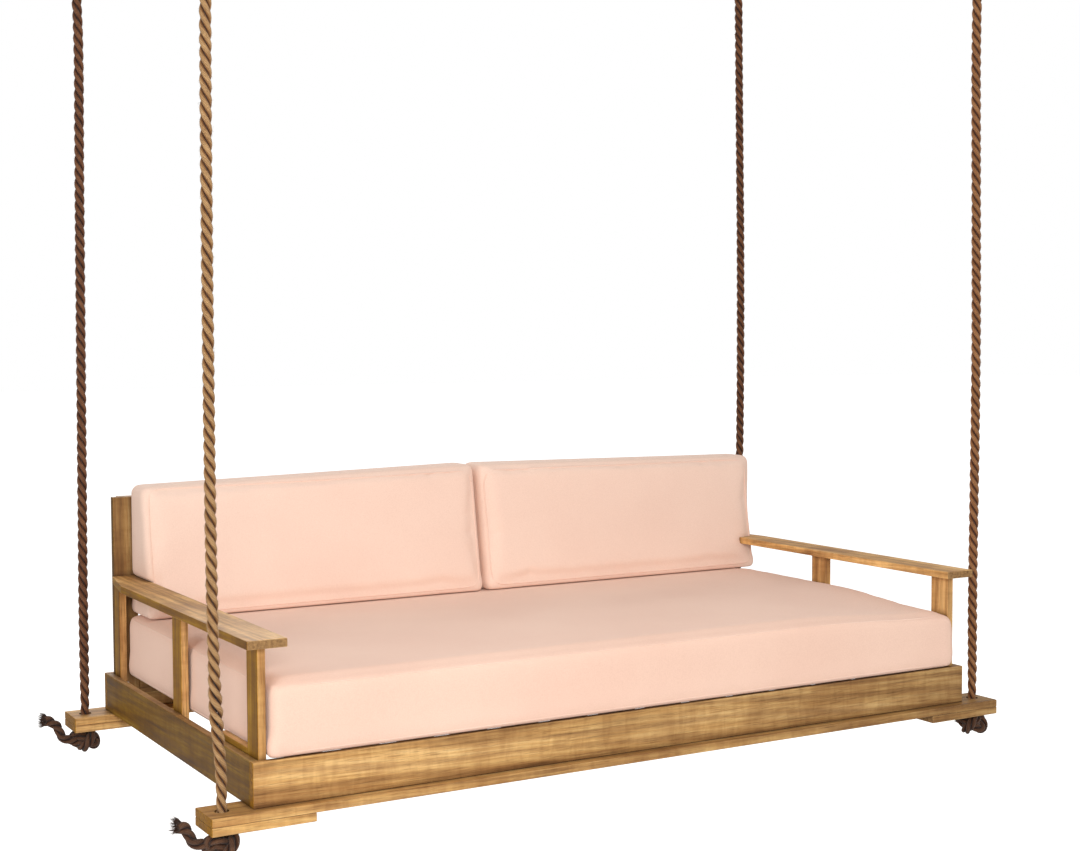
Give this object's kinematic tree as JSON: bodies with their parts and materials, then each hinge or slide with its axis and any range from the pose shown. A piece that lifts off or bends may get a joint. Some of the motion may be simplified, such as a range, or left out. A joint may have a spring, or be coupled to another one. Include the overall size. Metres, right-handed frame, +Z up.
{
  "type": "porch swing",
  "caption": "Wooden daybed porch swing with arms, a low slatted back and boxed cushions, hung on knotted ropes from ceiling eye bolts.",
  "frame": {"origin": "centre of the four ceiling studs, in the plane of the ceiling that the eye bolt flanges bear on", "axes": "+Z up along the studs; +X along the seat, to the right of a viewer who stands in front; +Y from the open front to the back"},
  "size_m": [2.3131, 1.168, 2.61],
  "materials": {
    "wood": "oiled, open grain",
    "cushion_fabric": "plain weave canvas",
    "rope_fibre": "three-strand manila",
    "hardware_steel": "galvanised",
    "screw_steel": "zinc plated",
    "dowel_wood": "raw beech"
  },
  "bodies": {
    "ceiling": {"ceiling_eye_bolts": "hardware_steel"},
    "shackle_front_left": {"shackle_bow_front_left": "hardware_steel", "shackle_pin_front_left": "hardware_steel"},
    "rope_front_left": {"rope_front_left": "rope_fibre", "thimble_front_left": "hardware_steel"},
    "rope_foot_front_left": {"rope_foot_front_left": "rope_fibre"},
    "shackle_front_right": {"shackle_bow_front_right": "hardware_steel", "shackle_pin_front_right": "hardware_steel"},
    "rope_front_right": {"rope_front_right": "rope_fibre", "thimble_front_right": "hardware_steel"},
    "rope_foot_front_right": {"rope_foot_front_right": "rope_fibre"},
    "shackle_back_left": {"shackle_bow_back_left": "hardware_steel", "shackle_pin_back_left": "hardware_steel"},
    "rope_back_left": {"rope_back_left": "rope_fibre", "thimble_back_left": "hardware_steel"},
    "rope_foot_back_left": {"rope_foot_back_left": "rope_fibre"},
    "shackle_back_right": {"shackle_bow_back_right": "hardware_steel", "shackle_pin_back_right": "hardware_steel"},
    "rope_back_right": {"rope_back_right": "rope_fibre", "thimble_back_right": "hardware_steel"},
    "rope_foot_back_right": {"rope_foot_back_right": "rope_fibre"},
    "seat": {"front_rail": "wood", "back_rail": "wood", "side_rail_left": "wood", "side_rail_right": "wood", "hanger_beam_front": "wood", "hanger_beam_back": "wood", "beam_doubler_front_left": "wood", "beam_doubler_front_right": "wood", "beam_doubler_back_left": "wood", "beam_doubler_back_right": "wood", "arm_post_front_left": "wood", "arm_post_front_right": "wood", "arm_post_middle_left": "wood", "arm_post_middle_right": "wood", "arm_post_rear_left": "wood", "arm_post_rear_right": "wood", "arm_left": "wood", "arm_right": "wood", "back_stile_left": "wood", "back_stile_right": "wood", "back_stile_centre": "wood", "back_top_rail": "wood", "back_slats": "wood", "deck_slats": "wood", "deck_cleat_front": "wood", "deck_cleat_back": "wood", "mattress_stops": "wood", "mattress": "cushion_fabric", "back_cushion_left": "cushion_fabric", "back_cushion_right": "cushion_fabric", "wood_screws": "screw_steel", "deck_screws": "screw_steel", "wood_dowels": "dowel_wood", "rope_knot_front_left": "rope_fibre", "rope_knot_front_right": "rope_fibre", "rope_knot_back_left": "rope_fibre", "rope_knot_back_right": "rope_fibre"}
  },
  "joints": [
    {"name": "sway_front_left", "type": "hinge", "parent": "ceiling", "child": "shackle_front_left", "pos_m": [-1.066, -0.531, -0.064], "axis": [0, 1, 0], "range_deg": [-3, 3]},
    {"name": "swing_front_left", "type": "hinge", "parent": "shackle_front_left", "child": "rope_front_left", "pos_m": [-1.066, -0.531, -0.112], "axis": [1, 0, 0], "range_deg": [-15, 15]},
    {"name": "rope_bend_front_left", "type": "hinge", "parent": "rope_front_left", "child": "rope_foot_front_left", "pos_m": [-1.066, -0.531, -2.375], "axis": [1, 0, 0], "range_deg": [-15, 15]},
    {"name": "sway_front_right", "type": "hinge", "parent": "ceiling", "child": "shackle_front_right", "pos_m": [1.066, -0.531, -0.064], "axis": [0, 1, 0], "range_deg": [-3, 3]},
    {"name": "swing_front_right", "type": "hinge", "parent": "shackle_front_right", "child": "rope_front_right", "pos_m": [1.066, -0.531, -0.112], "axis": [1, 0, 0], "range_deg": [-15, 15]},
    {"name": "rope_bend_front_right", "type": "hinge", "parent": "rope_front_right", "child": "rope_foot_front_right", "pos_m": [1.066, -0.531, -2.375], "axis": [1, 0, 0], "range_deg": [-15, 15]},
    {"name": "sway_back_left", "type": "hinge", "parent": "ceiling", "child": "shackle_back_left", "pos_m": [-1.066, 0.531, -0.064], "axis": [0, 1, 0], "range_deg": [-3, 3]},
    {"name": "swing_back_left", "type": "hinge", "parent": "shackle_back_left", "child": "rope_back_left", "pos_m": [-1.066, 0.531, -0.112], "axis": [1, 0, 0], "range_deg": [-15, 15]},
    {"name": "rope_bend_back_left", "type": "hinge", "parent": "rope_back_left", "child": "rope_foot_back_left", "pos_m": [-1.066, 0.531, -2.375], "axis": [1, 0, 0], "range_deg": [-15, 15]},
    {"name": "sway_back_right", "type": "hinge", "parent": "ceiling", "child": "shackle_back_right", "pos_m": [1.066, 0.531, -0.064], "axis": [0, 1, 0], "range_deg": [-3, 3]},
    {"name": "swing_back_right", "type": "hinge", "parent": "shackle_back_right", "child": "rope_back_right", "pos_m": [1.066, 0.531, -0.112], "axis": [1, 0, 0], "range_deg": [-15, 15]},
    {"name": "rope_bend_back_right", "type": "hinge", "parent": "rope_back_right", "child": "rope_foot_back_right", "pos_m": [1.066, 0.531, -2.375], "axis": [1, 0, 0], "range_deg": [-15, 15]},
    {"name": "seat_level", "type": "hinge", "parent": "rope_foot_front_left", "child": "seat", "pos_m": [-1.066, -0.531, -2.458], "axis": [0, 1, 0], "range_deg": [-3, 3]}
  ],
  "couplings": [
    {"joint": "rope_bend_front_left", "follows": "swing_front_left", "ratio": -1},
    {"joint": "sway_front_right", "follows": "sway_front_left", "ratio": 1},
    {"joint": "swing_front_right", "follows": "swing_front_left", "ratio": 1},
    {"joint": "rope_bend_front_right", "follows": "swing_front_left", "ratio": -1},
    {"joint": "sway_back_left", "follows": "sway_front_left", "ratio": 1},
    {"joint": "swing_back_left", "follows": "swing_front_left", "ratio": 1},
    {"joint": "rope_bend_back_left", "follows": "swing_front_left", "ratio": -1},
    {"joint": "sway_back_right", "follows": "sway_front_left", "ratio": 1},
    {"joint": "swing_back_right", "follows": "swing_front_left", "ratio": 1},
    {"joint": "rope_bend_back_right", "follows": "swing_front_left", "ratio": -1},
    {"joint": "seat_level", "follows": "sway_front_left", "ratio": -1}
  ]
}
